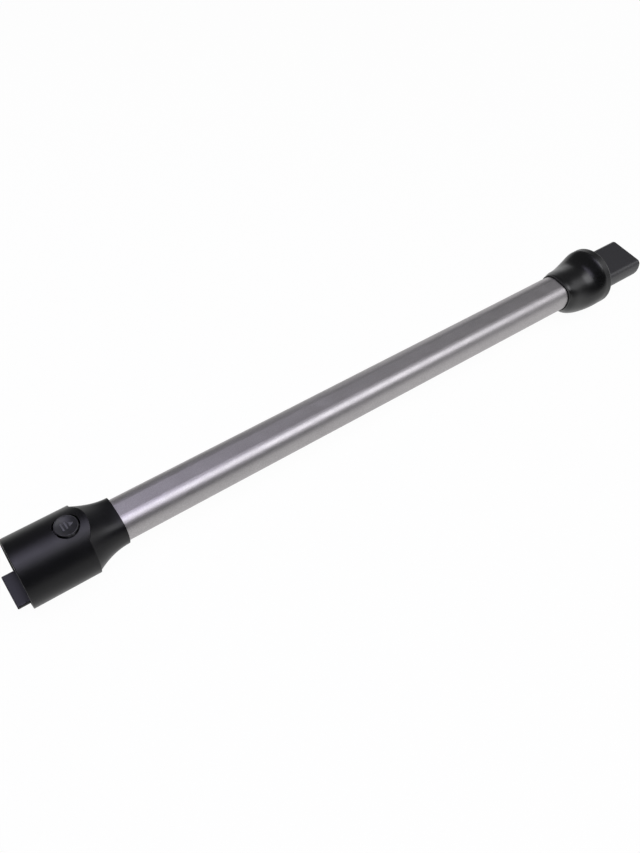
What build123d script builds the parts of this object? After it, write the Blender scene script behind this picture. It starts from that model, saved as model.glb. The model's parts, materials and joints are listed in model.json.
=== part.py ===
from build123d import *
from math import cos, degrees, radians, sin
import os

# Powered wand of a stick vacuum, lying on its round ends with the release button up.
# Millimetres. X runs along the wand from the socket to the plug, Z is up.
# Distances along the wand are counted from the open face of the socket, heights from the wand's axis.

# Aluminium tube: round underside, flat top
tube_radius = 17.25
tube_flat = 14.7
tube_corner = 12.0
tube_wall = 0.9
tube_exposed = 479.8

# Socket housing: round sleeve, concave shoulder, D-shaped neck
sleeve_length = 54.1
shoulder_length = 28.65
shoulder_step = 0.5
shoulder_sink = 1.0
housing_wall = 2.0
latch_room = 4.6
neck_wall = 1.8
neck_grip = 12.6
land_radius = 25.0
land_overhang = 6.4
edge_round = 0.6

# Collar: lip ring, bell, flange
lip_width = 2.2
lip_wall = 1.3
bell_neck_wall = 1.2
bell_length = 41.2
bell_wall = 2.2
flange_depth = 8.2
flange_wall = 2.5
flange_round = 2.5
register_depth = 3.0
register_wall = 1.4
register_top = -3.0

# Plug: D-shaped, flat on the side of its contacts
plug_radius = 20.2
plug_cut = 11.4
plug_corner = 4.5
plug_wall = 2.0
plug_length = 52.3
plug_round = 0.8
face_gap = 1.8
catch_depth = 1.5
catch_width = 9.0
catch_length = 5.0

# Socket liner
bore_clearance = 0.3
liner_wall = 1.5
bulkhead = 2.0
bulkhead_shoulder = 12.0
plug_bulkhead_gap = 4.0
liner_set_back = 1.0
spigot_wall = 1.4
spigot_overlap = 19.0
lead_chamber = 6.5

# Connector tongue and its contacts
tongue_width = 30.6
tongue_height = 8.0
tongue_gap = 0.6
tongue_reach = 9.7
tongue_round = 1.2
tongue_sole = 5.1
contact_spacing = 17.0
contact_width = 5.0
contact_thickness = 0.8
contact_recess = 3.0
contact_tail = 3.0
slot_width = 6.4
slot_height = 2.8
slot_depth = 10.0
solder_depth = 4.0

# Receptacle in the collar, for the cleaner's own tongue
pocket_width = 18.0
pocket_height = 5.6
pocket_depth = 7.0
pocket_wall = 1.2
pocket_rise = 5.4
blade_spacing = 9.4
receptacle_floor = 4.0
receptacle_lip = 2.0
receptacle_lip_width = 25.4
receptacle_lip_height = 4.0

# Conduit and leads inside the tube
conduit_width = 12.8
conduit_height = 4.2
conduit_wall = 0.8
conduit_inset = 0.5
lead_diameter = 2.0
lead_spacing = 6.2
lead_pass_inset = 6.4
lead_pass_height = 6.0
lead_crown_y = 13.0
lead_crown_z = 14.0
lead_bend = 3.0
lead_sweep = 6.0
lead_run_out = 5.0

# Release button and latch
button_x = 44.5
button_diameter = 18.8
button_gap = 0.9
button_proud = 0.8
button_skin = 2.8
button_round = 0.5
button_travel = 1.8
lug_length = 6.0
lug_thickness = 1.2
lug_drop = 3.8
tab_reach = 1.8
tab_height = 1.0
nose_width = 1.6
nose_length = 5.0
pivot_x = 27.0
pivot_depth = 4.5
pivot_diameter = 2.0
press_arm = 11.2
press_tail = 1.2
hook_arm = 10.5
hook_ramp = 3.0
hook_tip = 1.4
window_margin = 1.1
lever_width = 7.0
lever_thickness = 1.4
boss_diameter = 3.5
ear_radius = 1.5
ear_thickness = 2.0
pin_clearance = 0.05
spring_diameter = 5.6
spring_wire = 0.5
spring_turns = 3.0
spring_pad = 0.2
post_diameter = 7.4
post_tip_diameter = 3.2
post_tip_height = 0.8

# Fixing screws, one under each neck
screw_diameter = 2.6
screw_head = 5.2
screw_head_height = 1.0
screw_head_clearance = 0.3
screw_seat = 0.9

# Seals and fits
gasket_thickness = 1.5
gasket_width = 1.8
fit = 0.15
move_clearance = 0.3

# Softness of a section's corners: round, and as full as the neck's D
round_fullness = 0.5523
neck_fullness = 0.76

# Round ends: the sleeve takes the plug, its liner and the latch, and the collar is as wide
sleeve_radius = plug_radius + bore_clearance + liner_wall + latch_room + housing_wall
collar_radius = sleeve_radius
plug_flat = plug_radius - plug_cut

# Bell sections: distance from the lip, half width, top, bottom, height of the widest point, fullness
bell_neck = (0.0, tube_radius + bell_neck_wall, tube_flat + bell_neck_wall,
             -tube_radius - bell_neck_wall, 0.0, neck_fullness)
bell_throat = (0.153 * bell_length, collar_radius - 6.6, tube_flat + 1.9,
               4.0 - collar_radius, -3.0, 0.66)
bell_swell = (0.28 * bell_length, collar_radius - 5.2, tube_flat + 2.2,
              1.3 - collar_radius, -4.2, 0.6)
bell_belly = (0.47 * bell_length, collar_radius - 3.4, tube_flat + 2.3,
              0.2 - collar_radius, -5.3, round_fullness)
bell_waist = (0.65 * bell_length, collar_radius - 1.8, tube_flat + 2.9,
              0.1 - collar_radius, -4.5, round_fullness)
bell_flare = (0.80 * bell_length, collar_radius - 0.8, collar_radius - 7.6,
              0.1 - collar_radius, -3.0, round_fullness)
bell_edge = (0.895 * bell_length, collar_radius - 0.3, collar_radius - 3.6,
             0.1 - collar_radius, -1.5, round_fullness)
bell_rim = (bell_length, collar_radius, collar_radius, -collar_radius, 0.0, round_fullness)
bell_cavity = (bell_belly, bell_waist, bell_flare, bell_edge, bell_rim)
bell_sections = (bell_neck, bell_throat, bell_swell) + bell_cavity
bell_grip = bell_belly[0]

# Stations along the wand
mouth_x = sleeve_length + shoulder_length
shoulder_x = sleeve_length - shoulder_sink
lip_x = mouth_x + tube_exposed
bell_x = lip_x + lip_width
rim_x = bell_x + bell_length
stop_x = rim_x + flange_depth
lip_seat_x = stop_x - flange_wall
plug_end_x = stop_x + plug_length
plug_seat_x = plug_length - face_gap
bore_depth = plug_seat_x + gasket_thickness
bulkhead_end_x = bore_depth + bulkhead
tube_start_x = bulkhead_end_x + lead_chamber
tube_end_x = bell_x + bell_grip
plug_bulkhead_x = tube_end_x + plug_bulkhead_gap
plug_duct_x = plug_bulkhead_x + bulkhead
hook_x = pivot_x - hook_arm
catch_x = plug_end_x - plug_seat_x + hook_x
strip_end_x = bore_depth - solder_depth
pocket_floor_x = stop_x - pocket_depth
receptacle_x = pocket_floor_x - receptacle_floor
blade_start_x = receptacle_x - contact_tail
lead_turn_x = bulkhead_end_x + lead_bend
screw_x = mouth_x - neck_grip / 2
collar_screw_x = bell_x + bell_grip / 3
axis_height = max(sleeve_radius, collar_radius)
open_x = tongue_reach / 2 - plug_end_x / 2

# Radii and heights that several pieces share
neck_half = tube_radius + fit + neck_wall
neck_top = tube_flat + fit + neck_wall
shoulder_root = sleeve_radius - shoulder_step
cavity_radius = sleeve_radius - housing_wall
flange_radius = cavity_radius - fit
spigot_inset = -tube_wall - fit
duct_inset = spigot_inset - spigot_wall
conduit_top = tube_flat - tube_wall - fit
conduit_bottom = conduit_top - conduit_height
lead_height = conduit_top - conduit_height / 2
spigot_top = conduit_bottom - fit
duct_top = spigot_top - spigot_wall
bore_radius = plug_radius + bore_clearance
bore_flat = plug_flat + bore_clearance
liner_radius = bore_radius + liner_wall
lead_pass = cavity_radius - lead_pass_inset
tongue_radius = cavity_radius - tongue_gap
tongue_top = tongue_height - tongue_radius
contact_level = tongue_sole - tongue_radius
pocket_level = plug_flat + pocket_rise
register_radius = collar_radius - bell_wall - fit
flange_hollow = register_radius - register_wall
button_radius = button_diameter / 2
button_underside = sleeve_radius + button_proud - button_skin
spring_seat = liner_radius + spring_pad
pivot_height = sleeve_radius - pivot_depth
lever_tilt = degrees(button_travel / press_arm / 2)
lever_top = pivot_height + press_arm * sin(radians(lever_tilt)) + lever_thickness / 2
hook_drop = pivot_height - bore_radius + catch_depth - hook_arm * sin(radians(lever_tilt))
lever_gap = lever_width + 2 * move_clearance
screw_seat_height = tube_radius + fit + screw_seat
screw_tip_height = tube_radius + duct_inset
wand_axis = Axis((0, 0, axis_height), (1, 0, 0))


def across(x):
    """Plane square to the wand at distance x, its axes along Y and Z, on the wand's axis."""
    return Plane(origin=(open_x + x, 0, axis_height), x_dir=(0, 1, 0), z_dir=(1, 0, 0))


def side_view(x, height, tilt=0):
    """Plane along the wand's middle, its first axis tilted up towards the plug."""
    rise = radians(tilt)
    start = (open_x + x, 0, axis_height + height)
    return Plane(origin=start, x_dir=(cos(rise), 0, sin(rise)), z_dir=(0, -1, 0))


def level(x, height):
    """Horizontal plane over the wand's middle line."""
    return Plane(origin=(open_x + x, 0, axis_height + height), x_dir=(1, 0, 0), z_dir=(0, 0, 1))


def tube_profile(x, growth, top=None, bottom=None):
    """The tube's section, grown outwards, and cut level at top or bottom where given."""
    half = tube_radius + growth
    flat = tube_flat + growth
    corner = tube_corner + growth
    with BuildSketch(across(x)) as profile:
        with BuildLine():
            Line((corner - half, flat), (half - corner, flat))
            CenterArc((half - corner, flat - corner), corner, 0, 90)
            Line((half, flat - corner), (half, 0))
            CenterArc((0, 0), half, 180, 180)
            Line((-half, 0), (-half, flat - corner))
            CenterArc((corner - half, flat - corner), corner, 90, 90)
        make_face()
        if top is not None:
            with Locations((0, top)):
                Rectangle(4 * half, half, align=(Align.CENTER, Align.MIN), mode=Mode.SUBTRACT)
        if bottom is not None:
            with Locations((0, bottom)):
                Rectangle(4 * half, half, align=(Align.CENTER, Align.MAX), mode=Mode.SUBTRACT)
    return profile.sketch


def plug_profile(x, growth, side=1):
    """The plug's D section, grown outwards, its flat above the axis (side 1) or below it (side -1)."""
    radius = plug_radius + growth
    with BuildSketch(across(x)) as profile:
        Circle(radius)
        with Locations((0, side * (plug_flat + growth + radius))):
            Rectangle(4 * radius, 2 * radius, mode=Mode.SUBTRACT)
        flat = profile.edges().filter_by(GeomType.LINE).sort_by(Edge.length)[-1]
        fillet(flat.vertices(), plug_corner + growth)
    return profile.sketch


def oval_profile(x, half_width, top, bottom, middle, fullness):
    """A soft closed section: widest at the middle height, its upper corners as full as given."""
    with BuildSketch(across(x)) as profile:
        with BuildLine():
            for edge in (half_width, -half_width):
                upper = middle + fullness * (top - middle)
                lower = middle + round_fullness * (bottom - middle)
                Bezier((0, top), (fullness * edge, top), (edge, upper), (edge, middle))
                Bezier((edge, middle), (edge, lower), (round_fullness * edge, bottom), (0, bottom))
        make_face()
    return profile.sketch


def shoulder_profile(share, growth):
    """Section of the shoulder at a share of its length, from the sleeve's round to the neck's D."""
    swell = (1 - share) ** 2
    half_width = neck_half + (shoulder_root - neck_half) * swell + growth
    top = neck_top + (shoulder_root - neck_top) * swell + growth
    fullness = neck_fullness + (round_fullness - neck_fullness) * swell
    x = shoulder_x + share * (mouth_x - shoulder_x)
    return oval_profile(x, half_width, top, -half_width, 0, fullness)


def bell_profile(section, growth):
    """One section of the bell, grown outwards."""
    distance, half_width, top, bottom, middle, fullness = section
    x = bell_x + distance
    return oval_profile(x, half_width + growth, top + growth, bottom - growth, middle, fullness)


def lead_route(side):
    """Centre line of one lead, from the tongue, round the duct, through the conduit, to its blade."""
    contact_y = side * contact_spacing / 2
    conduit_y = side * lead_spacing / 2
    blade_y = side * blade_spacing / 2
    run_end_x = tube_end_x + lead_run_out
    points = (
        (strip_end_x, contact_y, contact_level),
        (lead_turn_x, contact_y, contact_level),
        (lead_turn_x, side * lead_pass, -lead_pass_height),
        (lead_turn_x, side * lead_pass, lead_pass_height),
        (lead_turn_x, side * lead_crown_y, lead_crown_z),
        (lead_turn_x, conduit_y, lead_height),
        (run_end_x, conduit_y, lead_height),
        (blade_start_x - lead_run_out, blade_y, pocket_level),
        (blade_start_x, blade_y, pocket_level),
    )
    return [(open_x + x, y, axis_height + z) for x, y, z in points]


lead_radii = [lead_bend, lead_sweep, lead_sweep, lead_sweep, lead_bend, lead_sweep, lead_sweep]

os.makedirs("parts", exist_ok=True)


def save(piece, name):
    """Labels a finished piece and writes it."""
    piece.part.label = name
    export_step(piece.part, f"parts/{name}.step")


# Raised land round the button: the sleeve's own surface, carried past its edge in an arch
with BuildPart() as button_land:
    with BuildSketch(level(sleeve_length + land_overhang - land_radius, 0)):
        Circle(land_radius)
    extrude(amount=sleeve_radius)
    with BuildSketch(across(0)):
        Circle(sleeve_radius)
    extrude(amount=mouth_x, mode=Mode.INTERSECT)

# Socket housing: sleeve, concave shoulder and neck, hollow, with the button's hole
with BuildPart() as socket_housing:
    with BuildSketch(across(0)):
        Circle(sleeve_radius)
    extrude(amount=sleeve_length)
    loft([shoulder_profile(share, 0) for share in (0, 0.2, 0.45, 0.7, 1)])
    add(button_land.part)
    with BuildSketch(across(0)):
        Circle(cavity_radius)
    extrude(amount=sleeve_length, mode=Mode.SUBTRACT)
    grip_share = 1 - neck_grip / (mouth_x - shoulder_x)
    loft(
        [shoulder_profile(share * grip_share, -housing_wall) for share in (0, 0.35, 0.7, 1)],
        mode=Mode.SUBTRACT,
    )
    extrude(tube_profile(mouth_x - neck_grip, fit), amount=neck_grip, mode=Mode.SUBTRACT)
    with BuildSketch(level(button_x, pivot_height / 2)):
        Circle(button_radius + button_gap)
    extrude(amount=sleeve_radius, mode=Mode.SUBTRACT)
    with BuildSketch(level(screw_x, -screw_seat_height)):
        Circle(screw_head / 2 + screw_head_clearance)
    extrude(amount=-sleeve_radius, mode=Mode.SUBTRACT)
    with BuildSketch(level(screw_x, -screw_seat_height)):
        Circle(screw_diameter / 2 + fit)
    extrude(amount=screw_seat_height, mode=Mode.SUBTRACT)
    outer_edges = socket_housing.edges().filter_by(GeomType.CIRCLE).group_by(Axis.X)[0]
    fillet(outer_edges.sort_by(Edge.length)[-1], edge_round)
save(socket_housing, "socket_housing")

# Socket liner: D-shaped bore for the tool's plug, bulkhead, spigot into the tube, latch bearings
with BuildPart() as socket_liner:
    with BuildSketch(across(liner_set_back)):
        Circle(flange_radius)
    extrude(amount=bulkhead)
    extrude(
        plug_profile(liner_set_back, bore_clearance + liner_wall, -1),
        amount=bore_depth - liner_set_back,
    )
    with BuildSketch(across(bore_depth)):
        Circle(flange_radius)
        with Locations((0, bulkhead_shoulder)):
            Rectangle(4 * flange_radius, flange_radius, align=(Align.CENTER, Align.MIN), mode=Mode.SUBTRACT)
        Circle(liner_radius)
    extrude(amount=bulkhead)
    extrude(
        tube_profile(bulkhead_end_x, spigot_inset, top=spigot_top),
        amount=lead_chamber + spigot_overlap,
    )
    with BuildSketch(level(button_x, bore_radius)):
        Circle(post_diameter / 2)
    extrude(amount=spring_seat - bore_radius)
    with BuildSketch(level(button_x, spring_seat)):
        Circle(post_tip_diameter / 2)
    extrude(amount=post_tip_height)
    with BuildSketch(side_view(pivot_x, pivot_height)):
        Circle(ear_radius)
        Rectangle(2 * ear_radius, pivot_height - bore_radius, align=(Align.CENTER, Align.MAX))
    extrude(amount=lever_gap / 2 + ear_thickness, both=True)
    extrude(plug_profile(0, bore_clearance, -1), amount=bore_depth, mode=Mode.SUBTRACT)
    extrude(
        tube_profile(bore_depth, duct_inset, top=duct_top, bottom=-bore_flat),
        amount=bulkhead,
        mode=Mode.SUBTRACT,
    )
    extrude(
        tube_profile(bulkhead_end_x, duct_inset, top=duct_top),
        amount=lead_chamber + spigot_overlap,
        mode=Mode.SUBTRACT,
    )
    with BuildSketch(side_view(pivot_x, liner_radius)):
        Rectangle(4 * ear_radius, 2 * ear_radius + pivot_height, align=(Align.CENTER, Align.MIN))
    extrude(amount=lever_gap / 2, both=True, mode=Mode.SUBTRACT)
    with BuildSketch(side_view(pivot_x, pivot_height)):
        Circle(pivot_diameter / 2 + pin_clearance)
    extrude(amount=flange_radius, both=True, mode=Mode.SUBTRACT)
    with BuildSketch(level(hook_x - (hook_ramp - hook_tip) / 2, 0)):
        Rectangle(hook_ramp + hook_tip + 2 * window_margin, lever_gap)
    extrude(amount=sleeve_radius, mode=Mode.SUBTRACT)
    with BuildSketch(across(liner_set_back)):
        with Locations((0, tongue_top + fit)):
            Rectangle(tongue_width + 2 * fit, sleeve_radius, align=(Align.CENTER, Align.MAX))
    extrude(amount=bulkhead, mode=Mode.SUBTRACT)
    with BuildSketch(across(bore_depth)):
        with Locations((0, contact_level)):
            with GridLocations(contact_spacing, 0, 2, 1):
                Circle(lead_diameter / 2 + fit)
    extrude(amount=bulkhead, mode=Mode.SUBTRACT)
    with BuildSketch(level(screw_x, 0)):
        Circle(screw_diameter / 2 + pin_clearance)
    extrude(amount=-sleeve_radius, mode=Mode.SUBTRACT)
save(socket_liner, "socket_liner")

# Gasket at the bottom of the bore, against which the tool's plug seals
with BuildPart() as socket_gasket:
    extrude(plug_profile(plug_seat_x, bore_clearance - fit, -1), amount=gasket_thickness)
    extrude(plug_profile(plug_seat_x, -gasket_width, -1), amount=gasket_thickness, mode=Mode.SUBTRACT)
save(socket_gasket, "socket_gasket")

# Connector tongue: flat on top, round below like the sleeve, with a slot for each blade of the tool
with BuildPart() as connector_block:
    with BuildSketch(across(-tongue_reach)) as tongue:
        Circle(tongue_radius)
        with Locations((0, tongue_top)):
            Rectangle(tongue_width, tongue_radius, align=(Align.CENTER, Align.MAX), mode=Mode.INTERSECT)
        top_edge = tongue.edges().filter_by(GeomType.LINE).sort_by(Edge.length)[-1]
        fillet(top_edge.vertices(), tongue_round)
    extrude(amount=tongue_reach + bore_depth)
    fillet(connector_block.faces().sort_by(Axis.X)[0].edges(), tongue_round / 2)
    with BuildSketch(across(-tongue_reach)):
        with Locations((0, contact_level)):
            with GridLocations(contact_spacing, 0, 2, 1):
                Rectangle(slot_width, slot_height)
    extrude(amount=slot_depth, mode=Mode.SUBTRACT)
    with BuildSketch(across(-tongue_reach)):
        with Locations((0, contact_level)):
            with GridLocations(contact_spacing, 0, 2, 1):
                Rectangle(contact_width + 2 * fit, contact_thickness + 2 * fit)
    extrude(amount=tongue_reach + strip_end_x, mode=Mode.SUBTRACT)
    with BuildSketch(across(strip_end_x)):
        with Locations((0, contact_level)):
            with GridLocations(contact_spacing, 0, 2, 1):
                Circle(lead_diameter / 2 + fit)
    extrude(amount=solder_depth, mode=Mode.SUBTRACT)
save(connector_block, "connector_block")

# Release button: a disc that follows the sleeve's curve, with snap lugs and a nose for the lever
with BuildPart() as release_button:
    with BuildSketch(level(button_x, button_underside)):
        Circle(button_radius)
    extrude(amount=button_radius)
    with BuildSketch(across(0)):
        Circle(sleeve_radius + button_proud)
    extrude(amount=mouth_x, mode=Mode.INTERSECT)
    fillet(release_button.faces().sort_by(Axis.Z)[-1].edges(), button_round)
    with BuildSketch(level(button_x, button_underside)):
        with GridLocations(0, 2 * button_radius - lug_thickness, 1, 2):
            Rectangle(lug_length, lug_thickness)
    extrude(amount=-lug_drop)
    with BuildSketch(level(button_x, button_underside - lug_drop)):
        with GridLocations(0, 2 * button_radius - lug_thickness + tab_reach, 1, 2):
            Rectangle(lug_length, lug_thickness + tab_reach)
    extrude(amount=tab_height)
    with BuildSketch(level(pivot_x + press_arm, button_underside)):
        Rectangle(nose_width, nose_length)
    extrude(amount=lever_top + move_clearance - button_underside)
save(release_button, "release_button")

# Return spring of the button
with BuildPart() as button_spring:
    spring_height = button_underside - spring_seat - spring_wire
    coil_radius = (spring_diameter - spring_wire) / 2
    with BuildLine() as coil:
        Helix(spring_height / spring_turns, spring_height, coil_radius,
              center=(open_x + button_x, 0, axis_height + spring_seat + spring_wire / 2))
    with BuildSketch(Plane(origin=coil.line @ 0, z_dir=coil.line % 0)):
        Circle(spring_wire / 2)
    sweep(path=coil.line, is_frenet=True)
save(button_spring, "button_spring")

# Latch lever: rocks on its pin, the button presses one end and the hook lifts at the other
with BuildPart() as latch_lever:
    with BuildSketch(side_view(pivot_x, pivot_height, lever_tilt)):
        with Locations(((press_arm + press_tail - hook_arm - hook_ramp) / 2, 0)):
            Rectangle(press_arm + press_tail + hook_arm + hook_ramp, lever_thickness)
        Circle(boss_diameter / 2)
        with BuildLine():
            Polyline(
                (-hook_arm - hook_ramp, 0),
                (-hook_arm - hook_ramp, -lever_thickness / 2),
                (-hook_arm, -hook_drop),
                (-hook_arm + hook_tip, -hook_drop),
                (-hook_arm + hook_tip, 0),
                close=True,
            )
        make_face()
        Circle(pivot_diameter / 2 + pin_clearance, mode=Mode.SUBTRACT)
    extrude(amount=lever_width / 2, both=True)
save(latch_lever, "latch_lever")

# Pin that the lever rocks on
with BuildPart() as latch_pin:
    with BuildSketch(side_view(pivot_x, pivot_height)):
        Circle(pivot_diameter / 2)
    extrude(amount=lever_gap / 2 + ear_thickness, both=True)
save(latch_pin, "latch_pin")

# Wand tube
with BuildPart() as wand_tube:
    extrude(tube_profile(tube_start_x, 0), amount=tube_end_x - tube_start_x)
    extrude(tube_profile(tube_start_x, -tube_wall), amount=tube_end_x - tube_start_x, mode=Mode.SUBTRACT)
    for hole_x in (screw_x, collar_screw_x):
        with BuildSketch(level(hole_x, 0)):
            Circle(screw_diameter / 2 + fit)
        extrude(amount=-sleeve_radius, mode=Mode.SUBTRACT)
save(wand_tube, "wand_tube")

# Conduit bonded under the tube's flat, a closed channel for the leads
with BuildPart() as cable_conduit:
    with BuildSketch(across(tube_start_x + conduit_inset)):
        with Locations((0, lead_height)):
            Rectangle(conduit_width, conduit_height)
            inner_height = conduit_height - 2 * conduit_wall
            Rectangle(conduit_width - 2 * conduit_wall, inner_height, mode=Mode.SUBTRACT)
    extrude(amount=tube_end_x - tube_start_x - 2 * conduit_inset)
save(cable_conduit, "cable_conduit")

# Power leads, one each side, each with its contact strip in the tongue and its blade in the collar
for side, name in ((-1, "left"), (1, "right")):
    with BuildPart() as power_lead:
        with BuildLine() as route:
            FilletPolyline(*lead_route(side), radius=lead_radii)
        with BuildSketch(Plane(origin=route.line @ 0, z_dir=route.line % 0)):
            Circle(lead_diameter / 2)
        sweep(path=route.line)
    save(power_lead, f"power_lead_{name}")

    with BuildPart() as contact_strip:
        with BuildSketch(across(contact_recess - tongue_reach)):
            with Locations((side * contact_spacing / 2, contact_level)):
                Rectangle(contact_width, contact_thickness)
        extrude(amount=tongue_reach - contact_recess + strip_end_x)
    save(contact_strip, f"contact_strip_{name}")

    with BuildPart() as contact_blade:
        with BuildSketch(across(blade_start_x)):
            with Locations((side * blade_spacing / 2, pocket_level)):
                Rectangle(contact_width, contact_thickness)
        extrude(amount=stop_x - contact_recess - blade_start_x)
    save(contact_blade, f"contact_blade_{name}")

# Bell-shaped collar: hollow on top, full-bellied below, over the end of the tube
with BuildPart() as plug_collar:
    loft([bell_profile(section, 0) for section in bell_sections])
    extrude(tube_profile(bell_x, fit), amount=bell_grip, mode=Mode.SUBTRACT)
    loft([bell_profile(section, -bell_wall) for section in bell_cavity], mode=Mode.SUBTRACT)
    with BuildSketch(level(collar_screw_x, -screw_seat_height)):
        Circle(screw_head / 2 + screw_head_clearance)
    extrude(amount=-collar_radius, mode=Mode.SUBTRACT)
    with BuildSketch(level(collar_screw_x, -screw_seat_height)):
        Circle(screw_diameter / 2 + fit)
    extrude(amount=screw_seat_height, mode=Mode.SUBTRACT)
save(plug_collar, "plug_collar")

# Lip ring between the collar and the tube
with BuildPart() as collar_lip_ring:
    extrude(tube_profile(lip_x, lip_wall), amount=lip_width)
    extrude(tube_profile(lip_x, fit), amount=lip_width, mode=Mode.SUBTRACT)
save(collar_lip_ring, "collar_lip_ring")

# Plug: hollow flange that closes the bell, spigot into the tube, bulkhead, D-shaped duct
with BuildPart() as plug_body:
    with BuildSketch(across(rim_x)):
        Circle(collar_radius)
    extrude(amount=flange_depth)
    fillet(plug_body.faces().sort_by(Axis.X)[-1].edges(), flange_round)
    with BuildSketch(across(rim_x)):
        Circle(flange_hollow)
    extrude(amount=flange_depth - flange_wall, mode=Mode.SUBTRACT)
    with BuildSketch(across(rim_x)):
        Circle(register_radius)
        Circle(flange_hollow, mode=Mode.SUBTRACT)
        with Locations((0, register_top)):
            Rectangle(4 * collar_radius, 2 * collar_radius, align=(Align.CENTER, Align.MIN),
                      mode=Mode.SUBTRACT)
    extrude(amount=-register_depth)
    extrude(
        tube_profile(tube_end_x - spigot_overlap, spigot_inset, top=spigot_top),
        amount=plug_duct_x - tube_end_x + spigot_overlap,
    )
    extrude(plug_profile(plug_bulkhead_x, 0), amount=plug_end_x - plug_bulkhead_x)
    fillet(plug_body.faces().sort_by(Axis.X)[-1].edges(), plug_round)
    extrude(plug_profile(plug_duct_x, -plug_wall), amount=plug_end_x - plug_duct_x, mode=Mode.SUBTRACT)
    extrude(
        tube_profile(tube_end_x - spigot_overlap, duct_inset, top=duct_top),
        amount=plug_bulkhead_x - tube_end_x + spigot_overlap,
        mode=Mode.SUBTRACT,
    )
    extrude(
        tube_profile(plug_bulkhead_x, duct_inset, top=plug_flat - plug_wall),
        amount=bulkhead,
        mode=Mode.SUBTRACT,
    )
    with BuildSketch(across(receptacle_x)):
        with Locations((0, pocket_level)):
            Rectangle(pocket_width + 2 * (pocket_wall + fit), pocket_height + 2 * (pocket_wall + fit))
    extrude(amount=stop_x - receptacle_x, mode=Mode.SUBTRACT)
    with BuildSketch(level(catch_x, -plug_radius + catch_depth)):
        Rectangle(catch_length, catch_width)
    extrude(amount=-plug_radius, mode=Mode.SUBTRACT)
    with BuildSketch(level(collar_screw_x, 0)):
        Circle(screw_diameter / 2 + pin_clearance)
    extrude(amount=-tube_radius, mode=Mode.SUBTRACT)
save(plug_body, "plug_body")

# Receptacle: a cup in the flange for the cleaner's tongue, held by its lip behind the end wall
with BuildPart() as contact_receptacle:
    with BuildSketch(across(receptacle_x)):
        with Locations((0, pocket_level)):
            Rectangle(pocket_width + 2 * pocket_wall, pocket_height + 2 * pocket_wall)
    extrude(amount=stop_x - receptacle_x)
    with BuildSketch(across(lip_seat_x)):
        with Locations((0, pocket_level)):
            Rectangle(receptacle_lip_width, receptacle_lip_height)
    extrude(amount=-receptacle_lip)
    with BuildSketch(across(pocket_floor_x)):
        with Locations((0, pocket_level)):
            Rectangle(pocket_width, pocket_height)
    extrude(amount=pocket_depth, mode=Mode.SUBTRACT)
    with BuildSketch(across(receptacle_x)):
        with Locations((0, pocket_level)):
            with GridLocations(blade_spacing, 0, 2, 1):
                Rectangle(contact_width + 2 * fit, contact_thickness + 2 * fit)
    extrude(amount=receptacle_floor, mode=Mode.SUBTRACT)
save(contact_receptacle, "contact_receptacle")

# Fixing screws: through the neck and the tube into the spigot
for name, place in (("socket_screw", screw_x), ("collar_screw", collar_screw_x)):
    with BuildPart() as fixing_screw:
        with BuildSketch(level(place, -screw_seat_height)):
            Circle(screw_head / 2)
        extrude(amount=-screw_head_height)
        with BuildSketch(level(place, -screw_seat_height)):
            Circle(screw_diameter / 2)
        extrude(amount=screw_seat_height - screw_tip_height)
    save(fixing_screw, name)
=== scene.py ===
# %% [markdown]
# A powered vacuum cleaner tube, dressed for a product picture.
#
# The CAD frame already holds every piece at its true size and place, in metres. This lesson gives
# each piece its finish, remodels the few whose rounded edges and marks are too fine for CAD, and
# lights the wand as such parts are photographed: on white paper, under soft lamps.

# %% Load the frame
import json
import math

import bpy
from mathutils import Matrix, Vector


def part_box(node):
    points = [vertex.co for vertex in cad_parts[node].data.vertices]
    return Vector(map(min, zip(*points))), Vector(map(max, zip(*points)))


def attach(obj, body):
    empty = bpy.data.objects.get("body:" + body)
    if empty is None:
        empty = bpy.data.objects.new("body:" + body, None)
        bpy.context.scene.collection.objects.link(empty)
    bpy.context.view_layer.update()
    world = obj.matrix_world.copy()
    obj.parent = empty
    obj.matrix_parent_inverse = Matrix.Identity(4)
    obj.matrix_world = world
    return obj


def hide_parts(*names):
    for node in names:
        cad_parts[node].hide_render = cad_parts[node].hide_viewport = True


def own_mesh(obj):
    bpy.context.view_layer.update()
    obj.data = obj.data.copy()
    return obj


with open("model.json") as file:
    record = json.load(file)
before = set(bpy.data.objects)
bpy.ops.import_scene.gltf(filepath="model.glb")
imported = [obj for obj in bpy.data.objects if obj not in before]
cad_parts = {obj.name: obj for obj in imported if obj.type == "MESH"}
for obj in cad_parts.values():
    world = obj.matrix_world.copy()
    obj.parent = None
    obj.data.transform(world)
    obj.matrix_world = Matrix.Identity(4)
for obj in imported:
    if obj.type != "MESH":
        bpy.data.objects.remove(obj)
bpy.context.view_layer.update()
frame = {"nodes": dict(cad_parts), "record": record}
scene = bpy.context.scene
MM = 0.001

# %% [markdown]
# A workshop drawing would count distances along the wand from the open face of the socket, and
# heights from the axis of its round ends. The camera's place is given in the same way. Both zeros
# could be typed in, but they are read off the frame, so that the camera follows the part.

# %% Where the wand's own zero lies
socket_low, socket_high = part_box("socket_housing")
FACE_X = socket_low.x
AXIS_Z = (socket_low.z + socket_high.z) / 2


def at(x, y, z):
    """Row-frame point in metres from millimetres along, across and above the wand's axis."""
    return Vector((FACE_X + x * MM, y * MM, AXIS_Z + z * MM))


print("socket face at x =", round(FACE_X, 5), "axis at z =", round(AXIS_Z, 5))

# %% [markdown]
# The camera stands on the near side of the socket end and looks along the wand towards the plug, so
# the wand runs from the lower left to the upper right and grows smaller with distance. A camera can
# be aimed by hand or with a Track To constraint. Here its place and its turn come from a
# perspective fit to the straight edges of the tube and the sleeve, so they go straight into its
# matrix.

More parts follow.
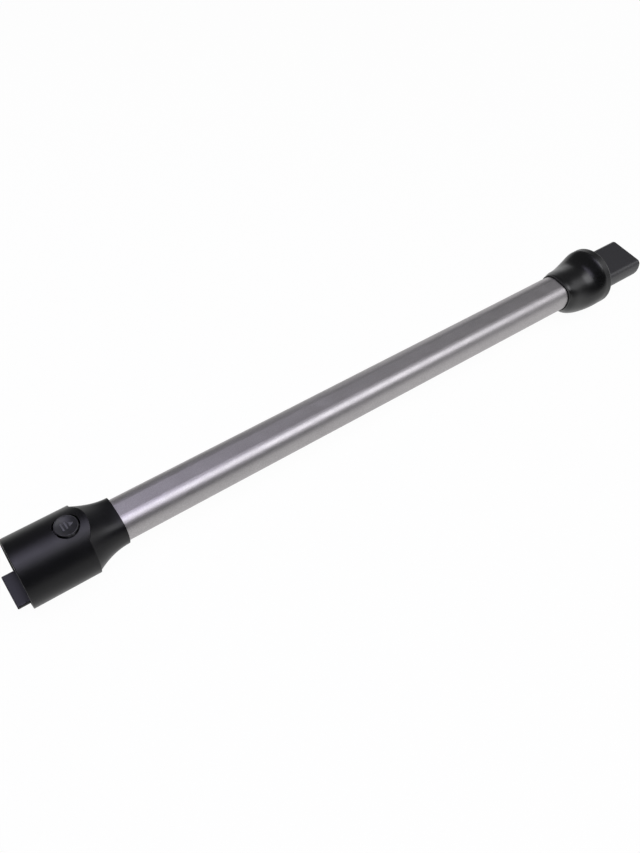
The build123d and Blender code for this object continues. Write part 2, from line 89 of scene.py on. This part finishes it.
# %% Camera
IMAGE_WIDTH, IMAGE_HEIGHT = 640, 853
FOCAL_PIXELS = 840.0
SENSOR = 36.0
NEAREST = 0.01
EYE = at(-15.8, -342.2, 569.5)
EYE_RIGHT = Vector((0.8122, -0.5796, 0.0659))
EYE_FORWARD = Vector((0.3951, 0.4634, -0.7932))

camera_data = bpy.data.cameras.new("camera")
camera_data.sensor_fit = "VERTICAL"
camera_data.sensor_height = SENSOR
camera_data.sensor_width = SENSOR * IMAGE_WIDTH / IMAGE_HEIGHT
camera_data.lens = FOCAL_PIXELS / IMAGE_HEIGHT * SENSOR
camera_data.clip_start = NEAREST
camera = bpy.data.objects.new("camera", camera_data)
scene.collection.objects.link(camera)
eye_back = -EYE_FORWARD.normalized()
eye_right = (EYE_RIGHT - eye_back * EYE_RIGHT.dot(eye_back)).normalized()
eye_up = eye_back.cross(eye_right)
for row in range(3):
    camera.matrix_world[row] = (eye_right[row], eye_up[row], eye_back[row], EYE[row])
scene.camera = camera
print("lens", round(camera_data.lens, 2), "mm, eye at", [round(v, 4) for v in EYE])

# %% [markdown]
# Every finish is a small node tree. Wired by hand, each node takes several lines, so one helper
# adds a node, sets what is fixed and links what varies. Another turns the hex colours that a
# painter would note down into the linear values that the renderer works with.

# %% Helpers for finishes


def linear(hex_colour):
    """Linear RGBA from an sRGB hex value, by the curve of the sRGB standard."""
    channels = [int(hex_colour[i:i + 2], 16) / 255 for i in (1, 3, 5)]
    return [c / 12.92 if c <= 0.04045 else ((c + 0.055) / 1.055) ** 2.4 for c in channels] + [1.0]


def add_node(tree, kind, inputs=None, **settings):
    """Adds a node, sets its properties, and fills its inputs with values or links."""
    node = tree.nodes.new(kind)
    for name, value in settings.items():
        setattr(node, name, value)
    for name, value in (inputs or {}).items():
        if isinstance(value, bpy.types.NodeSocket):
            tree.links.new(value, node.inputs[name])
        else:
            node.inputs[name].default_value = value
    return node


def new_finish(name):
    """An empty material with its tree and the object coordinates that patterns read."""
    finish = bpy.data.materials.new(name)
    finish.use_nodes = True
    finish.node_tree.nodes.clear()
    place = add_node(finish.node_tree, "ShaderNodeTexCoord").outputs["Object"]
    return finish, finish.node_tree, place


def dress(finish, *node_names):
    """Gives CAD nodes their finish."""
    for node_name in node_names:
        piece = frame["nodes"][node_name]
        piece.data.materials.clear()
        piece.data.materials.append(finish)
    print(finish.name, "on", ", ".join(node_names))


print("middle grey in linear light:", round(linear("#808080")[0], 3))

# %% [markdown]
# Blasted metal and moulded plastic have one thing in common: tiny grains, each a little lighter or
# darker and higher or lower than the next, and a sheen that wanders over the piece. An image
# texture could show them, but it needs a UV map and repeats. Noise on the object's coordinates
# needs neither, and its scale follows from the width of a grain in millimetres. Real grains are
# about a tenth of a millimetre wide, too fine to show in this picture, so they are drawn several
# times as coarse.

# %% Grained surfaces
GRAIN_DETAIL, PATCH_DETAIL = 2.0, 3.0
# Noise keeps near its middle value, so the ramps on it run over its middle part only.
GRAIN_DARK, GRAIN_LIGHT = 0.35, 0.65
PATCH_SMOOTH, PATCH_ROUGH = 0.3, 0.7
PATCH_MM = 14  # how far the sheen keeps its sharpness before it wanders


def speckled(tree, place, grain_mm, dark, light):
    """The height of each grain, and a colour that varies with it between two hex values."""
    grain = add_node(
        tree,
        "ShaderNodeTexNoise",
        {"Vector": place, "Scale": 1 / (grain_mm * MM), "Detail": GRAIN_DETAIL},
    )
    tones = add_node(tree, "ShaderNodeValToRGB", {"Fac": grain.outputs["Fac"]})
    stops = tones.color_ramp.elements
    stops[0].position, stops[1].position = GRAIN_DARK, GRAIN_LIGHT
    stops[0].color, stops[1].color = linear(dark), linear(light)
    return grain.outputs["Fac"], tones.outputs["Color"]


def moulded(name, dark, light, grain_mm, roughness, spread, bump_mm, **settings):
    """A finish with grains of colour, a roughness that wanders, and a fine raised texture."""
    finish, tree, place = new_finish(name)
    grain, colour = speckled(tree, place, grain_mm, dark, light)
    patch = add_node(
        tree,
        "ShaderNodeTexNoise",
        {"Vector": place, "Scale": 1 / (PATCH_MM * MM), "Detail": PATCH_DETAIL},
    )
    rough = add_node(
        tree,
        "ShaderNodeMapRange",
        {
            "Value": patch.outputs["Fac"],
            "From Min": PATCH_SMOOTH,
            "From Max": PATCH_ROUGH,
            "To Min": roughness - spread,
            "To Max": roughness + spread,
        },
    )
    raised = add_node(
        tree, "ShaderNodeBump", {"Height": grain, "Distance": bump_mm * MM, "Strength": 1.0}
    )
    shader = add_node(
        tree,
        "ShaderNodeBsdfPrincipled",
        {
            "Base Color": colour,
            "Roughness": rough.outputs["Result"],
            "Normal": raised.outputs["Normal"],
        },
    )
    for socket, value in settings.items():
        shader.inputs[socket.replace("_", " ")].default_value = value
    add_node(tree, "ShaderNodeOutputMaterial", {"Surface": shader.outputs["BSDF"]})
    return finish


print("the sheen wanders every", PATCH_MM, "mm")

# %% [markdown]
# Anodised aluminium: the tube is drawn, bead-blasted and anodised in natural silver. Drawn metal
# would ask for an anisotropic shader, which stretches the highlight across the lines. Blasting
# takes the lines away, so an even, grained metal is the truer choice.

# %% Tube finish
# The eye sees a soft, wide highlight along the crest with a faint sparkle in it.
anodised_aluminium = moulded(
    "anodised_aluminium", "#a29fa0", "#b1aeaf",
    grain_mm=0.8, roughness=0.45, spread=0.03, bump_mm=0.005, Metallic=1.0,
)
dress(anodised_aluminium, "wand_tube")

# %% [markdown]
# Black ABS: the socket, the collar and the lip ring are moulded in the same plastic, and only the
# polish of their moulds differs. So one recipe serves all three, and roughness, specular level and
# the height of the texture tell them apart.

# %% Black mouldings
# A finely textured mould: the sleeve shows a broad, weak sheen and no mirror image.
satin_black_abs = moulded(
    "satin_black_abs", "#09090b", "#0e0e10",
    grain_mm=0.5, roughness=0.36, spread=0.03, bump_mm=0.006, Specular_IOR_Level=0.24,
)
# A polished mould: the bell is deep black with clear streaks of light and no texture.
gloss_black_abs = moulded(
    "gloss_black_abs", "#0a0a0b", "#0d0d0e",
    grain_mm=2.0, roughness=0.3, spread=0.03, bump_mm=0.0, Specular_IOR_Level=0.5,
)
# A dull mould: the ring stays a dark line between the tube and the bell.
matte_black_lip = moulded(
    "matte_black_lip", "#0e0c0d", "#141213",
    grain_mm=0.5, roughness=0.5, spread=0.03, bump_mm=0.004,
)
dress(satin_black_abs, "socket_housing")
dress(gloss_black_abs, "plug_collar")
dress(matte_black_lip, "collar_lip_ring")

# %% [markdown]
# The button is moulded in dark grey ABS, and its sign in a lighter one. A worn edge could be
# painted on with a mask. Here the rim is real geometry further on, and catches the light by itself,
# so a plain matte plastic is enough.

# %% Button finishes
# Matte: the button stands out from the black sleeve as a soft grey disc.
button_grey_abs = moulded(
    "button_grey_abs", "#1f1f22", "#27272a",
    grain_mm=0.5, roughness=0.5, spread=0.04, bump_mm=0.006,
)
# Lighter and a little smoother: the sign reads against the dish at a glance.
sign_grey_abs = moulded(
    "sign_grey_abs", "#4b4b50", "#55555a",
    grain_mm=0.5, roughness=0.45, spread=0.04, bump_mm=0.004,
)
dress(button_grey_abs, "release_button")

# %% [markdown]
# The pieces inside show only through the socket's mouth and the gap round the button: the liner and
# the receptacle, the lever, the conduit, the leads and the gasket. They could share one dark
# plastic, but each is made of its own, so that a view into the socket is true as well.

# %% Finishes inside
# ABS straight from the mould: dull black, so the socket's mouth stays dark.
liner_black_abs = moulded(
    "liner_black_abs", "#1a1a1c", "#202022",
    grain_mm=0.6, roughness=0.55, spread=0.04, bump_mm=0.008,
)
# Dyed acetal: even and slightly waxy.
dark_acetal = moulded(
    "dark_acetal", "#1c1c1e", "#222224",
    grain_mm=0.8, roughness=0.5, spread=0.04, bump_mm=0.004,
)
# Extruded PVC: plain mid grey.
grey_extrusion = moulded(
    "grey_extrusion", "#5d5d60", "#68686b",
    grain_mm=0.8, roughness=0.5, spread=0.04, bump_mm=0.004,
)
# Flexible PVC: black with hardly any sheen.
lead_sheath = moulded(
    "lead_sheath", "#1b1b1b", "#232323",
    grain_mm=0.6, roughness=0.6, spread=0.04, bump_mm=0.006,
)
# Rubber: no highlight at all, only a soft lightening towards the lamp.
seal_rubber = moulded(
    "seal_rubber", "#161617", "#1d1d1e",
    grain_mm=0.4, roughness=0.75, spread=0.05, bump_mm=0.01,
)
dress(liner_black_abs, "socket_liner", "contact_receptacle")
dress(dark_acetal, "latch_lever")
dress(grey_extrusion, "cable_conduit")
dress(lead_sheath, "power_lead_left", "power_lead_right")
dress(seal_rubber, "socket_gasket")

# %% [markdown]
# The contacts are stamped from brass strip, and the pin, the spring and the screws are plain steel.
# Stamping and wire drawing leave fine lines, but on pieces of a few millimetres they don't show, so
# these metals use the grained recipe too.

# %% Small metal pieces
# Bright yellow metal with a clear highlight on each edge.
stamped_brass = moulded(
    "stamped_brass", "#c79f5c", "#d4ad69",
    grain_mm=0.5, roughness=0.3, spread=0.05, bump_mm=0.003, Metallic=1.0,
)
# Cold grey metal, as sharp in its highlights as the brass.
plain_steel = moulded(
    "plain_steel", "#b4b4b8", "#c2c2c6",
    grain_mm=0.4, roughness=0.3, spread=0.06, bump_mm=0.003, Metallic=1.0,
)
dress(stamped_brass, "contact_strip_left", "contact_strip_right")
dress(stamped_brass, "contact_blade_left", "contact_blade_right")
dress(plain_steel, "button_spring", "latch_pin", "socket_screw", "collar_screw")

# %% [markdown]
# Two pieces show two tones. The plug is moulded in two shots: its flange in black like the collar,
# and the D beyond the flange's face in matte grey, so the tone steps along the wand. The tongue's
# top shows the nylon's own grey. Its sides are painted dark as painted shade where they turn away
# from the lamps, so there the tone follows the way a face looks. Two materials on one mesh would do
# as well, but a CAD node's mesh is left alone, so one material reads the place or the normal and
# steps there.

# %% Finishes in two tones and painted shade
TWO_TONE_GRAIN_MM, TWO_TONE_BUMP_MM = 0.5, 0.008


def two_tone_and_painted_shade(name, axis, step, first, dark, light, roughness, specular, painted_shade_by_normal=False):
    """One plain tone, and a grained one where the place or the normal lies past the step."""
    finish, tree, place = new_finish(name)
    # Read by the normal, the step puts the plain tone, as painted shade, on faces that turn from the
    # lamps.
    source = add_node(tree, "ShaderNodeNewGeometry").outputs["Normal"] if painted_shade_by_normal else place
    value = add_node(tree, "ShaderNodeSeparateXYZ", {"Vector": source}).outputs[axis]
    past = add_node(tree, "ShaderNodeMath", {0: value, 1: step}, operation="GREATER_THAN")
    past = past.outputs[0]
    grain, grained = speckled(tree, place, TWO_TONE_GRAIN_MM, dark, light)
    colour = add_node(
        tree, "ShaderNodeMixRGB", {"Fac": past, "Color1": linear(first), "Color2": grained}
    )
    rough, shine = (
        add_node(tree, "ShaderNodeMapRange", {"Value": past, "To Min": before, "To Max": beyond})
        for before, beyond in (roughness, specular)
    )
    raised = add_node(
        tree,
        "ShaderNodeBump",
        {"Height": grain, "Distance": TWO_TONE_BUMP_MM * MM, "Strength": 1.0},
    )
    shader = add_node(
        tree,
        "ShaderNodeBsdfPrincipled",
        {
            "Base Color": colour.outputs[0],
            "Roughness": rough.outputs["Result"],
            "Specular IOR Level": shine.outputs["Result"],
            "Normal": raised.outputs["Normal"],
        },
    )
    add_node(tree, "ShaderNodeOutputMaterial", {"Surface": shader.outputs["BSDF"]})
    return finish


print("grain of both:", TWO_TONE_GRAIN_MM, "mm wide")

# %% [markdown]
# The plug's step lies just past the face that stops the cleaner, which the frame lists as a mount.
# The tongue's step lies where a face looks up by more than about 45 degrees; the faces below it get
# the painted shade.

# %% Plug and tongue
STEP_PAST_STOP = 0.1 * MM
TOP_FACING = 0.7
stop_x = next(
    mount["pos_m"][0] for mount in frame["record"]["mounts"] if mount["name"] == "collar_stop"
)
# Two-shot ABS: a black flange that belongs to the bell, and a greyer, duller D.
plug_two_shot = two_tone_and_painted_shade(
    "plug_two_shot", "X", stop_x + STEP_PAST_STOP, "#0d0d0e", "#121117", "#18171d",
    roughness=(0.42, 0.5), specular=(0.5, 0.8),
)
# Glass-filled nylon: a grey top over sides painted dark, which is painted shade.
tongue_nylon = two_tone_and_painted_shade(
    "tongue_nylon", "Z", TOP_FACING, "#0c0c0d", "#3c3c40", "#454549",
    roughness=(0.6, 0.55), specular=(0.5, 0.5), painted_shade_by_normal=True,
)
dress(plug_two_shot, "plug_body")
dress(tongue_nylon, "connector_block")

# %% [markdown]
# Small pieces come next: the ones whose edges and marks are too fine for the CAD model. Each could
# be built anew from a primitive, but a copy of its CAD mesh keeps the true form. Its split corners
# are welded together first, and it is then cut and rounded in edit mode as it would be by hand.

# %% Helpers for modelling
WELD = 0.005 * MM  # corners closer than this become one


def pick(piece):
    """Makes a piece active and alone in the selection."""
    bpy.ops.object.select_all(action="DESELECT")
    piece.select_set(True)
    bpy.context.view_layer.objects.active = piece


def fresh_copy(node_name, name, finish):
    """A copy of a CAD node's mesh as a piece of its own, welded and picked."""
    piece = bpy.data.objects.new(name, frame["nodes"][node_name].data.copy())
    scene.collection.objects.link(piece)
    piece.data.materials.clear()
    piece.data.materials.append(finish)
    pick(piece)
    bpy.ops.object.mode_set(mode="EDIT")
    bpy.ops.mesh.select_all(action="SELECT")
    bpy.ops.mesh.remove_doubles(threshold=WELD)
    bpy.ops.mesh.select_all(action="DESELECT")
    bpy.ops.object.mode_set(mode="OBJECT")
    return piece


def select(piece, kind, wanted):
    """Enters edit mode with the faces or corners of the active piece that the test accepts."""
    bpy.ops.object.mode_set(mode="EDIT")
    bpy.ops.mesh.select_all(action="DESELECT")
    bpy.ops.mesh.select_mode(type=kind)
    bpy.ops.object.mode_set(mode="OBJECT")
    for item in piece.data.polygons if kind == "FACE" else piece.data.vertices:
        item.select = wanted(item)
    bpy.ops.object.mode_set(mode="EDIT")


def smooth(piece, degrees=35):
    """Leaves edit mode and shades the piece smooth, apart from its sharper edges."""
    bpy.ops.object.mode_set(mode="OBJECT")
    pick(piece)
    bpy.ops.object.shade_smooth_by_angle(angle=math.radians(degrees))


def flat_bar(centre, size, turn=0.0, corners=4):
    """A low, sharp-edged solid to be shaped further: a bar, or an arrowhead of three corners."""
    bpy.ops.object.select_all(action="DESELECT")
    if corners == 4:
        bpy.ops.mesh.primitive_cube_add(
            size=1, location=centre, rotation=(0, 0, turn), scale=size
        )
    else:
        bpy.ops.mesh.primitive_cylinder_add(
            vertices=corners, radius=size[0], depth=size[2], location=centre,
            rotation=(0, 0, turn),
        )
    bpy.ops.object.transform_apply(location=True, rotation=True, scale=True)
    return bpy.context.object


print("corners weld within", WELD / MM, "mm")

# %% [markdown]
# The button looks flat from above, although its CAD disc follows the sleeve. A new cylinder could
# take its place, but would lose the form that the button has below. So the disc of the copy is drawn
# in a little, which opens the dark gap round it, its crown is pressed level, and the faces of the
# crown are dissolved into one, whose edge can then be bevelled.

# %% Release button: crown
DISC_SHRINK, CROWN_DROP, RIM_SOFT = 0.955, 0.35 * MM, 0.35 * MM
SKIN = 2.8 * MM  # from the highest point of the disc to its underside
SLACK, NEAR, SKIRT = 0.01 * MM, 0.05 * MM, 0.3 * MM
FACING, LEVEL = 0.99, 0.999  # how far a normal points along an axis

button_low, button_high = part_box("release_button")
button_x = (button_low.x + button_high.x) / 2
crown_z = button_high.z - CROWN_DROP
underside_z = button_high.z - SKIN
crown_middle = (button_x, 0, crown_z)
button_cap = fresh_copy("release_button", "button_cap", button_grey_abs)
select(button_cap, "VERT", lambda corner: corner.co.z > underside_z - SLACK)
bpy.ops.transform.resize(value=(DISC_SHRINK, DISC_SHRINK, 1), center_override=crown_middle)
select(button_cap, "VERT", lambda corner: corner.co.z > underside_z + SKIRT)
bpy.ops.transform.resize(value=(1, 1, 0), center_override=crown_middle)
bpy.ops.mesh.remove_doubles(threshold=WELD)
select(
    button_cap, "FACE", lambda face: face.normal.z > FACING and face.center.z > crown_z - NEAR
)
bpy.ops.mesh.dissolve_faces()
bpy.ops.mesh.bevel(offset=RIM_SOFT, segments=3)
print("button crown at z =", round(crown_z / MM, 2), "mm")

# %% [markdown]
# A shallow dish tells the thumb where to press. A boolean with a lens would cut it, with ragged
# edges on so small a piece. Two insets are cleaner: the first leaves a narrow rim that catches the
# light, and the second, with depth, sinks the face inside it.

# %% Release button: dish
RIM_WIDTH, RIM_SLOPE, DISH_DEPTH = 0.5 * MM, 0.4 * MM, 0.5 * MM
dish_z = crown_z - DISH_DEPTH
select(
    button_cap, "FACE", lambda face: face.normal.z > LEVEL and face.center.z > crown_z - SLACK
)
bpy.ops.mesh.inset(thickness=RIM_WIDTH)
bpy.ops.mesh.inset(thickness=RIM_SLOPE, depth=-DISH_DEPTH)
smooth(button_cap)
print("dish floor at z =", round(dish_z / MM, 2), "mm")

# %% [markdown]
# A plain release sign stands in the dish: two bars and an arrowhead. Drawn into the material it
# would lie flat and be missing from the mesh. As low solids with bevelled edges, rooted in the dish
# and joined to the button, the marks catch the light and move with it.

# %% Release button: sign
SIGN_HEIGHT, SIGN_ROOT, SIGN_SOFT = 0.42 * MM, 0.1 * MM, 0.15 * MM
BAR_WIDTH, BAR_LENGTH, BAR_STEP = 1.3 * MM, 6.4 * MM, 3.0 * MM
ARROW_RADIUS, ARROW_STEP, ARROW_TURN = 2.3 * MM, 3.4 * MM, math.radians(-90)

sign_z = dish_z + (SIGN_HEIGHT - SIGN_ROOT) / 2
bar_size = (BAR_WIDTH, BAR_LENGTH, SIGN_HEIGHT + SIGN_ROOT)
arrow_size = (ARROW_RADIUS, ARROW_RADIUS, SIGN_HEIGHT + SIGN_ROOT)
sign = [
    flat_bar((button_x - BAR_STEP, 0, sign_z), bar_size),
    flat_bar((button_x, 0, sign_z), bar_size),
    flat_bar((button_x + ARROW_STEP, 0, sign_z), arrow_size, ARROW_TURN, corners=3),
]
for mark in sign:
    pick(mark)
    mark.data.materials.append(sign_grey_abs)
    bpy.ops.object.mode_set(mode="EDIT")
    bpy.ops.mesh.select_all(action="SELECT")
    bpy.ops.mesh.bevel(offset=SIGN_SOFT, segments=3)
    bpy.ops.object.mode_set(mode="OBJECT")
pick(button_cap)
for mark in sign:
    mark.select_set(True)
bpy.ops.object.join()
smooth(button_cap)
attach(button_cap, "button")
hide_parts("release_button")
print("button_cap faces:", len(button_cap.data.polygons))

# %% [markdown]
# The button's spring is a coil of steel wire that shortens while the button goes down; this copy
# keeps its rest length and is fixed to the wand. A Screw modifier would wind a new one, but the copy
# already has the right wire and ends.

# %% Button spring
RELAX = 0.2
WIRE_SMOOTH = 60
coil_spring = fresh_copy("button_spring", "coil_spring", plain_steel)
bpy.ops.object.mode_set(mode="EDIT")
bpy.ops.mesh.select_all(action="SELECT")
bpy.ops.mesh.vertices_smooth(factor=RELAX, repeat=1)
smooth(coil_spring, WIRE_SMOOTH)
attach(coil_spring, "wand")
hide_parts("button_spring")
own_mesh(coil_spring)

# %% [markdown]
# The dark ring between tube and collar is a moulded bead. A torus would be rounder than the real
# one, which follows the tube's section and has flat sides, so the sharp edges of the CAD copy are
# selected by their angle and bevelled.

# %% Lip ring
BEAD_ROUND = 0.45 * MM
BEAD_SHARP, BEAD_SMOOTH = 60, 50
lip_bead = fresh_copy("collar_lip_ring", "lip_bead", matte_black_lip)
bpy.ops.object.mode_set(mode="EDIT")
bpy.ops.mesh.select_mode(type="EDGE")
bpy.ops.mesh.edges_select_sharp(sharpness=math.radians(BEAD_SHARP))
bpy.ops.mesh.bevel(offset=BEAD_ROUND, segments=4)
bpy.ops.mesh.select_mode(type="FACE")
smooth(lip_bead, BEAD_SMOOTH)
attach(lip_bead, "wand")
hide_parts("collar_lip_ring")
print("lip_bead faces:", len(lip_bead.data.polygons))

# %% [markdown]
# Each neck is held by one small screw from below. A driver needs a tapered cross in its head. It
# could be pushed in with insets, but two bars whose inner ends are drawn in, taken away with a
# boolean, give the crisp corners of a punched recess.

# %% Driver's cross
CROSS_LENGTH, CROSS_WIDTH, CROSS_DEPTH, CROSS_TAPER = 3.0 * MM, 0.75 * MM, 0.7 * MM, 0.6


def cross_cutter(centre):
    """Two tapered bars across each other, for the driver's recess."""
    bars = []
    for along, across in ((CROSS_LENGTH, CROSS_WIDTH), (CROSS_WIDTH, CROSS_LENGTH)):
        bar = flat_bar(centre, (along, across, 2 * CROSS_DEPTH))
        select(bar, "FACE", lambda face: face.normal.z > FACING)
        bpy.ops.transform.resize(value=(CROSS_TAPER, CROSS_TAPER, 1))
        bpy.ops.object.mode_set(mode="OBJECT")
        bars.append(bar)
    return bars


print("cross:", CROSS_LENGTH / MM, "mm wide and", CROSS_DEPTH / MM, "mm deep")

# %% [markdown]
# The screws themselves are turned from steel, and their heads have an eased edge. The thread is
# hidden in the plastic, so the CAD copy needs only that bevel and the recess.

# %% Fixing screws
HEAD_EASE = 0.3 * MM

for node_name in ("socket_screw", "collar_screw"):
    low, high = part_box(node_name)
    screw = fresh_copy(node_name, node_name.replace("screw", "cross_screw"), plain_steel)
    select(screw, "FACE", lambda face: face.normal.z < -FACING and face.center.z < low.z + NEAR)
    bpy.ops.mesh.dissolve_faces()
    bpy.ops.mesh.bevel(offset=HEAD_EASE, segments=3)
    bpy.ops.object.mode_set(mode="OBJECT")
    for bar in cross_cutter(((low.x + high.x) / 2, 0, low.z)):
        cut = screw.modifiers.new("recess", "BOOLEAN")
        cut.operation = "DIFFERENCE"
        cut.object = bar
        pick(screw)
        bpy.ops.object.modifier_apply(modifier=cut.name)
        bpy.data.objects.remove(bar)
    smooth(screw)
    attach(screw, "wand")
    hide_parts(node_name)
    print(screw.name, "faces:", len(screw.data.polygons))

# %% [markdown]
# The wand lies on white paper. Lit paper alone would come out grey, and a lamp strong enough to
# make it white would burn out the tube. So the paper glows white for the rays that are seen, by the
# camera or in the wand's own reflections, and a small share of plain paper keeps a faint shadow.

# %% Floor
FLOOR_SIZE = 8.0
GLOW_SHARE = 0.97
bpy.ops.object.select_all(action="DESELECT")
bpy.ops.mesh.primitive_plane_add(size=FLOOR_SIZE, location=(0, 0, 0))
floor = bpy.context.object
floor.name = "floor"
# Matte paper: the eye sees an even white ground with no sheen.
paper, tree, _ = new_finish("white_paper")
ray = add_node(tree, "ShaderNodeLightPath")
seen = 0.0
for kind in ("Is Camera Ray", "Is Glossy Ray", "Is Transmission Ray"):
    seen = add_node(
        tree, "ShaderNodeMath", {0: ray.outputs[kind], 1: seen}, operation="MAXIMUM"
    ).outputs[0]
share = add_node(tree, "ShaderNodeMath", {0: seen, 1: GLOW_SHARE}, operation="MULTIPLY")
plain = add_node(tree, "ShaderNodeBsdfDiffuse", {"Color": linear("#f2f2f2")})
glow = add_node(tree, "ShaderNodeEmission", {"Color": linear("#ffffff"), "Strength": 1.0})
mixed = add_node(
    tree,
    "ShaderNodeMixShader",
    {0: share.outputs[0], 1: plain.outputs[0], 2: glow.outputs[0]},
)
add_node(tree, "ShaderNodeOutputMaterial", {"Surface": mixed.outputs[0]})
floor.data.materials.append(paper)
print("floor", floor.dimensions[:])

# %% [markdown]
# Satin metal and black plastic get their shape from what they mirror, so the room matters as much
# as the lamps. An HDR picture would do, but the script reads no image. Instead the room is dark, a
# little brighter behind the wand than in front of it, with three pale patches: a low glow on the
# near side, a window beyond the plug, and light behind the far end. Each patch is a product of
# ramps, one for each side that bounds it, and the patches add up.

# %% Room
ROOM_WHITE = "#fafafc"
# Each ramp: the axis of the direction, where it starts and stops, and the strength at both.
PATCHES = {
    "room": [("Y", -0.2, 0.6, 0.04, 0.19)],
    "near_side": [("Y", -0.7, -0.1, 1, 0), ("Z", 0.05, 0.5, 0.8, 0), ("X", 0.0, 0.4, 0.1, 1)],
    "window": [("X", 0.58, 0.72, 0, 1.8), ("Y", -0.2, 0.1, 1, 0), ("Y", -0.55, -0.35, 0, 1)],
    "far_end": [("X", 0.36, 0.56, 0, 1.5), ("Y", 0.62, 0.82, 0, 1)],
}
world = bpy.data.worlds.new("studio")
scene.world = world
world.use_nodes = True
tree = world.node_tree
tree.nodes.clear()
direction = add_node(tree, "ShaderNodeTexCoord").outputs["Generated"]
split = add_node(tree, "ShaderNodeSeparateXYZ", {"Vector": direction})
level = 0.0
for ramps in PATCHES.values():
    patch = 1.0
    for axis, start, stop, first, last in ramps:
        strength = add_node(
            tree,
            "ShaderNodeMapRange",
            {
                "Value": split.outputs[axis],
                "From Min": start,
                "From Max": stop,
                "To Min": first,
                "To Max": last,
            },
        ).outputs["Result"]
        patch = add_node(
            tree, "ShaderNodeMath", {0: strength, 1: patch}, operation="MULTIPLY"
        ).outputs[0]
    level = add_node(tree, "ShaderNodeMath", {0: patch, 1: level}, operation="ADD").outputs[0]
room = add_node(
    tree, "ShaderNodeBackground", {"Color": linear(ROOM_WHITE), "Strength": level}
)
add_node(tree, "ShaderNodeOutputWorld", {"Surface": room.outputs["Background"]})
print("patches of light:", ", ".join(PATCHES))

# %% [markdown]
# A long softbox overhead lays a soft crest along every part. The socket lies outside it and would
# sink into black, so a second, narrow one with a grid hangs over the socket. A sun or a spot would
# be simpler, but their highlights on satin metal are hard and small.

# %% Lamps
LAMP_HEIGHT = 1.5


def softbox(name, x, y, width, depth, watts, colour, spread=180):
    """A rectangular lamp facing down, its width along the wand, its grid's spread in degrees."""
    data = bpy.data.lights.new(name, "AREA")
    data.shape = "RECTANGLE"
    data.size = width
    data.size_y = depth
    data.energy = watts
    data.color = linear(colour)[:3]
    data.spread = math.radians(spread)
    lamp = bpy.data.objects.new(name, data)
    scene.collection.objects.link(lamp)
    lamp.location = (x, y, LAMP_HEIGHT)


softbox("long_softbox", x=0.61, y=-0.45, width=1.36, depth=0.9, watts=16, colour="#f8f8fc")
softbox(
    "socket_softbox", x=-0.31, y=0.0, width=0.34, depth=1.6, watts=1.75, colour="#e8e3ff",
    spread=60,
)
scene.view_settings.view_transform = "Standard"
